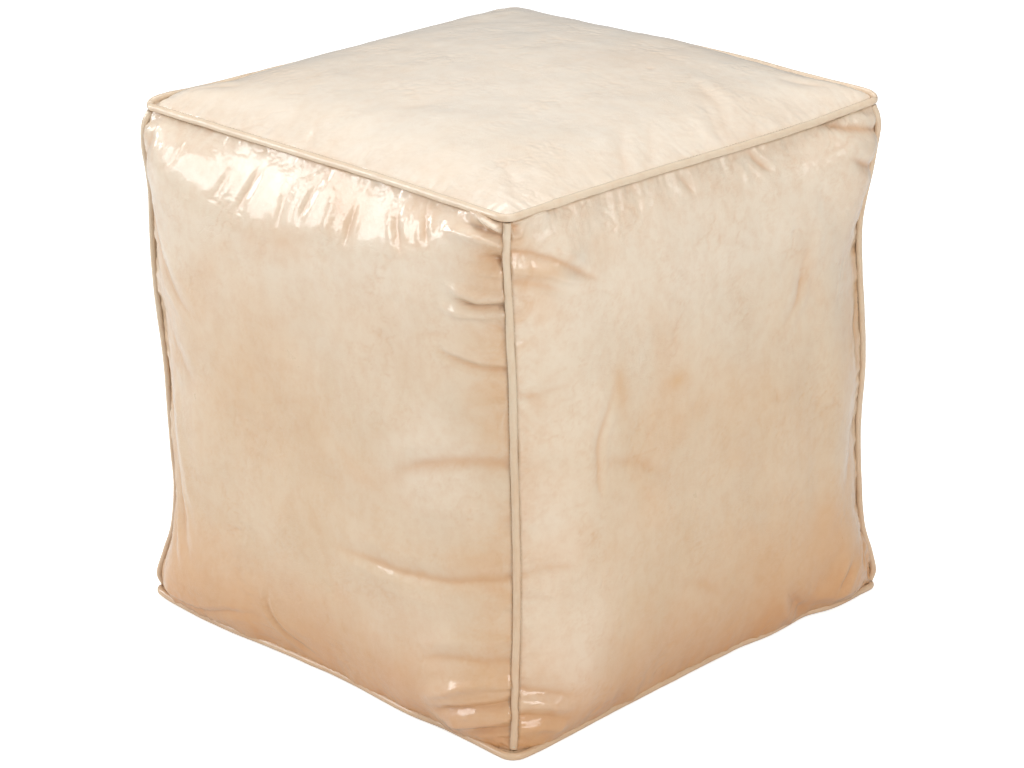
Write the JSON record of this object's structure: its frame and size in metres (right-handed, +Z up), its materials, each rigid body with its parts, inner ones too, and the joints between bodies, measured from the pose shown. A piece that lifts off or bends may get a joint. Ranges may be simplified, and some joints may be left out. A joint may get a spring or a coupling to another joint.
{
  "type": "moroccan leather pouf",
  "caption": "Square stuffed leather pouf with piped seams on every edge and a zipped underside; a soft footstool or low seat.",
  "frame": {"origin": "centre of the base, on the floor", "axes": "+Z up; -Y out of the front panel, which is the left-hand face in the picture; +X out of the right panel, along the zip towards its closed end"},
  "size_m": [0.4538, 0.4538, 0.4615],
  "materials": {
    "top_leather": "semi-gloss, lightly patinated natural goat leather",
    "side_leather": "semi-gloss natural goat leather, cream at the top to orange-tan at the foot",
    "base_leather": "satin tan leather, scuffed",
    "piping_leather": "semi-gloss leather strip",
    "piping_cord": "twisted cotton cord",
    "thread": "waxed thread",
    "zip_tape": "woven cotton tape",
    "zip_metal": "dull, lightly tarnished",
    "bag_cotton": "plain-weave unbleached cotton",
    "stuffing": "matted cotton fibre"
  },
  "bodies": {
    "cover": {"top_panel": "top_leather", "front_panel": "side_leather", "right_panel": "side_leather", "back_panel": "side_leather", "left_panel": "side_leather", "bottom_panel_front": "base_leather", "bottom_panel_back": "base_leather", "top_piping": "piping_leather", "bottom_piping": "piping_leather", "corner_piping_front_left": "piping_leather", "corner_piping_front_right": "piping_leather", "corner_piping_back_right": "piping_leather", "corner_piping_back_left": "piping_leather", "top_piping_cord": "piping_cord", "bottom_piping_cord": "piping_cord", "corner_cord_front_left": "piping_cord", "corner_cord_front_right": "piping_cord", "corner_cord_back_right": "piping_cord", "corner_cord_back_left": "piping_cord", "top_seam_thread": "thread", "bottom_seam_thread": "thread", "corner_thread_front_left": "thread", "corner_thread_front_right": "thread", "corner_thread_back_right": "thread", "corner_thread_back_left": "thread", "zip_tape_front": "zip_tape", "zip_tape_back": "zip_tape", "zip_teeth_front": "zip_metal", "zip_teeth_back": "zip_metal", "zip_top_stops": "zip_metal", "zip_bottom_stop": "zip_metal", "zip_thread_front": "thread", "zip_thread_back": "thread", "inner_bag": "bag_cotton", "filling": "stuffing"},
    "slider": {"zip_slider": "zip_metal"},
    "pull": {"zip_pull": "zip_metal"}
  },
  "joints": [
    {"name": "zip_slide", "type": "slide", "parent": "cover", "child": "slider", "axis": [-1, 0, 0], "range_m": [0, 0.279], "deforming": ["zip_teeth_front", "zip_teeth_back", "zip_tape_front", "zip_tape_back"]},
    {"name": "zip_pull_hinge", "type": "hinge", "parent": "slider", "child": "pull", "pos_m": [0.1415, 0, 0.00445], "axis": [0, -1, 0], "range_deg": [0, 180]}
  ]
}
